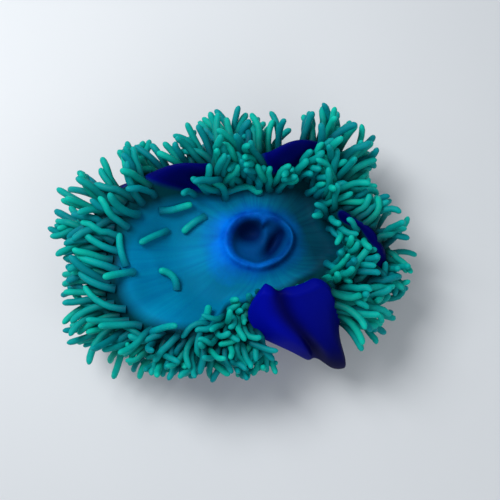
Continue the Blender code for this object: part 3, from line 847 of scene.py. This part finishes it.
# Each finger's line is the smooth curve through its chain, with a point at each station. It starts a little
# under the skin, so that no gap shows.
STATIONS = (0, 0.12, 0.28, 0.44, 0.60, 0.75, 0.87, 0.94, 0.98, 1)
ROOT_SUNK = 0.0012
before, beyond = 2 * chains[:, :1] - chains[:, 1:2], 2 * chains[:, -1:] - chains[:, -2:-1]
knots = np.concatenate([before, chains, beyond], axis=1)
stations = np.array(STATIONS) * (LINKS - 1)
k = np.minimum(stations.astype(int), LINKS - 2)
path = between(knots[:, k], knots[:, k + 1], knots[:, k + 2], knots[:, k + 3], (stations - k)[None, :, None])
first = path[:, 1] - path[:, 0]
path[:, 0] -= ROOT_SUNK * first / np.linalg.norm(first, axis=1)[:, None]

# The fingers' tree sweeps a circle along each line. The profile is the thickness along a finger, from root to
# tip, as a share of the radius.
SIDES = 8
PATCH = 0.003
PROFILE = (
    (0, 1.30), (0.08, 1.10), (0.30, 1.0), (0.75, 0.98), (0.90, 0.94), (0.955, 0.76), (0.985, 0.48), (1, 0.2),
)

fingers = Tree(bpy.data.node_groups.new("fingers", "GeometryNodeTree"))
for name, kind in (
    ("Chains", "NodeSocketGeometry"), ("Radius", "NodeSocketFloat"), ("Sides", "NodeSocketInt"),
    ("Patch", "NodeSocketFloat"), ("Material", "NodeSocketMaterial"),
):
    fingers.tree.interface.new_socket(name, in_out="INPUT", socket_type=kind)
fingers.tree.interface.new_socket("Fingers", in_out="OUTPUT", socket_type="NodeSocketGeometry")


def given(name):
    return fingers.node("NodeGroupInput", output=name)


def read(name, kind="FLOAT"):
    return fingers.node("GeometryNodeInputNamedAttribute", {"data_type": kind}, {"Name": name})


def kept(geometry, name, value, kind="FLOAT", domain="POINT"):
    """The geometry with a value stored on it."""
    return fingers.node(
        "GeometryNodeStoreNamedAttribute", {"data_type": kind, "domain": domain},
        {"Geometry": geometry, "Name": name, "Value": value},
    )


share = fingers.node("GeometryNodeSplineParameter", output="Factor")
lines = kept(fingers.node("GeometryNodeMeshToCurve", {}, {"Mesh": given("Chains")}), "length_share", share)
taper = fingers.node("ShaderNodeFloatCurve", {}, {"Value": share})
# The curve's values end at 1, so it holds half of the profile.
mapping = taper.socket.node.mapping
for end in (0, -1):
    mapping.curves[0].points[end].location = (PROFILE[end][0], PROFILE[end][1] / 2)
for at, size in PROFILE[1:-1]:
    mapping.curves[0].points.new(at, size / 2)
mapping.update()
thick = taper * given("Radius") * 2.0 * read("girth")
circle = fingers.node("GeometryNodeCurvePrimitiveCircle", {}, {"Resolution": given("Sides"), "Radius": 1.0})
tube = fingers.node("GeometryNodeCurveToMesh", {}, {
    "Curve": lines, "Profile Curve": kept(circle, "turn", share), "Scale": thick, "Fill Caps": True,
})

# Each finger is a small round patch at its root's place on the skin's unwrap, with its tip in the middle.
angle = read("turn") * (2 * math.pi)
reach = (1.0 - read("length_share")) * given("Patch") * 0.5
spoke = fingers.node("ShaderNodeCombineXYZ", {}, {
    0: angle.maths("COSINE", angle) * reach, 1: angle.maths("SINE", angle) * reach,
})
patch_uv = fingers.node(
    "ShaderNodeVectorMath", {"operation": "ADD"}, {0: spoke, 1: read("root_uv", "FLOAT_VECTOR")}
)
tube = kept(tube, "OFBake", patch_uv, "FLOAT2", "CORNER")
tube = fingers.node("GeometryNodeSetShadeSmooth", {}, {0: tube})
tube = fingers.node("GeometryNodeRealizeInstances", {}, {0: tube})
tube = fingers.node("GeometryNodeSetMaterial", {}, {"Geometry": tube, "Material": given("Material")})
fingers.node("NodeGroupOutput", {}, {"Fingers": tube})

# A faint painted glow, in the fingers' own colour, stands in for their fluorescence.
tentacle_finish = Finish(
    "tentacle_flesh", Subsurface_Weight=0.15, Subsurface_Scale=0.004, Specular_IOR_Level=0.07,
    Emission_Strength=0.05,
)
place = tentacle_finish.node("ShaderNodeTexCoord", output="Object")
up_finger = tentacle_finish.attribute("length_share")
tint = tentacle_finish.attribute("tint")
pale = tentacle_finish.attribute("pale")
speckle = tentacle_finish.mottle(place, 190.0)
fine = tentacle_finish.mottle(place, 900.0, 2.0)
# Painted shade and light along each finger: dark at the root, where shade falls between the fingers, and a
# painted highlight towards the tip; the tint is each finger's own hue.
root_shade_colour = tentacle_finish.mix(tint, shade(0, 34, 46), shade(0, 52, 58))
# The pale value takes the painted shade off the root and adds painted light along the middle, for fingers
# that lie in the open, on or by the bare disc.
root_shade_colour = tentacle_finish.mix(pale, root_shade_colour, shade(0, 100, 124))
middle_colour = tentacle_finish.mix(tint, shade(0, 96, 112), shade(2, 134, 120))
middle_colour = tentacle_finish.mix(pale, middle_colour, shade(0, 150, 158))
lit_tip_colour = tentacle_finish.mix(tint, shade(0, 138, 148), shade(6, 186, 166))
finger_colour = tentacle_finish.mix(up_finger.rising(0.02, 0.40), root_shade_colour, middle_colour)
finger_colour = tentacle_finish.mix(up_finger.rising(0.35, 0.95), finger_colour, lit_tip_colour)
finger_colour = tentacle_finish.mix(speckle.rising(0.45, 0.8) * 0.35, finger_colour, shade(0, 96, 116))
finger_relief = speckle * 0.7 + fine * 0.3
finger_bump = tentacle_finish.node(
    "ShaderNodeBump", {}, {"Strength": 0.25, "Distance": 0.0006, "Height": finger_relief}
)
tentacle_finish.wear(
    Base_Color=finger_colour, Emission_Color=finger_colour, Roughness=speckle * 0.2 + 0.42, Normal=finger_bump
)

strand_mesh = bpy.data.meshes.new("strands")
per_strand = len(STATIONS)
starts = np.arange(len(chains))[:, None] * per_strand + np.arange(per_strand - 1)[None, :]
strand_edges = np.stack([starts, starts + 1], -1).reshape(-1, 2)
strand_mesh.from_pydata(path.reshape(-1, 3).tolist(), strand_edges.tolist(), [])
store(strand_mesh, "root_uv", np.repeat(uvs, per_strand, axis=0), "FLOAT_VECTOR")
store(strand_mesh, "tint", np.repeat([rng.random() for _ in chains], per_strand))
store(strand_mesh, "pale", np.repeat(pales, per_strand))
girths = girths * [rng.uniform(0.92, 1.08) for _ in chains]
store(strand_mesh, "girth", np.repeat(girths, per_strand))
strands = bpy.data.objects.new("strands", strand_mesh)
bpy.context.scene.collection.objects.link(strands)
modifier = strands.modifiers.new("fingers", "NODES")
modifier.node_group = fingers.tree
inputs = {"Radius": TENTACLE_RADIUS, "Sides": SIDES, "Patch": PATCH, "Material": tentacle_finish.material}
for item in fingers.tree.interface.items_tree:
    if item.name in inputs:
        modifier[item.identifier] = inputs[item.name]
grown = bpy.data.meshes.new_from_object(strands.evaluated_get(bpy.context.evaluated_depsgraph_get()))
bpy.data.objects.remove(strands)
grown.name = "tentacles"
tentacles = bpy.data.objects.new("tentacles", grown)
bpy.context.scene.collection.objects.link(tentacles)
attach(tentacles, "root")
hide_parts(*[name for name in flesh_nodes if name.startswith("border_lobe")])

# ---------------------------------------------------------------------------------------------------------
# The studio: a plain pale floor, soft light from above and a little from the far left, and the camera, which
# looks down steeply from the near side.

FLOOR_HALF = 1.5
floor_mesh = bpy.data.meshes.new("floor")
floor_mesh.from_pydata(
    [(x * FLOOR_HALF, y * FLOOR_HALF, 0) for x, y in ((-1, -1), (1, -1), (1, 1), (-1, 1))], [], [(0, 1, 2, 3)]
)
floor_finish = Finish("pale_floor", Roughness=0.6)
floor_place = floor_finish.node("ShaderNodeTexCoord", output="Object")
floor_tone = floor_finish.mottle(floor_place, 3.0)
floor_mesh.materials.append(
    floor_finish.wear(Base_Color=floor_finish.mix(floor_tone, shade(214, 218, 222), shade(222, 225, 228)))
)
floor = bpy.data.objects.new("floor", floor_mesh)
bpy.context.scene.collection.objects.link(floor)

world = bpy.data.worlds.new("studio")
world.use_nodes = True
world.node_tree.nodes["Background"].inputs["Color"].default_value = shade(225, 232, 240)
world.node_tree.nodes["Background"].inputs["Strength"].default_value = 0.35
bpy.context.scene.world = world


def soft_light(name, place, aim, size, power):
    light = bpy.data.lights.new(name, "AREA")
    light.size = size
    light.energy = power
    lamp = bpy.data.objects.new(name, light)
    lamp.location = place
    lamp.rotation_euler = (Vector(aim) - Vector(place)).to_track_quat("-Z", "Y").to_euler()
    bpy.context.scene.collection.objects.link(lamp)


centre = Vector(((cad_box[0][0] + cad_box[1][0]) / 2, (cad_box[0][1] + cad_box[1][1]) / 2, 0.04))
soft_light("key", (-0.45, 0.35, 0.9), centre, 0.45, 9)
soft_light("fill", (0.6, -0.7, 0.7), centre, 0.8, 3)

LENS = 50
ELEVATION = math.radians(80)
DISTANCE = 0.52
aim = Vector((0.0112, -0.0012, 0.045))
camera = bpy.data.objects.new("camera", bpy.data.cameras.new("camera"))
camera.data.lens = LENS
camera.location = aim + DISTANCE * Vector((0, -math.cos(ELEVATION), math.sin(ELEVATION)))
camera.rotation_euler = (aim - camera.location).to_track_quat("-Z", "Y").to_euler()
bpy.context.scene.collection.objects.link(camera)
bpy.context.scene.camera = camera
bpy.context.scene.view_settings.view_transform = "Standard"
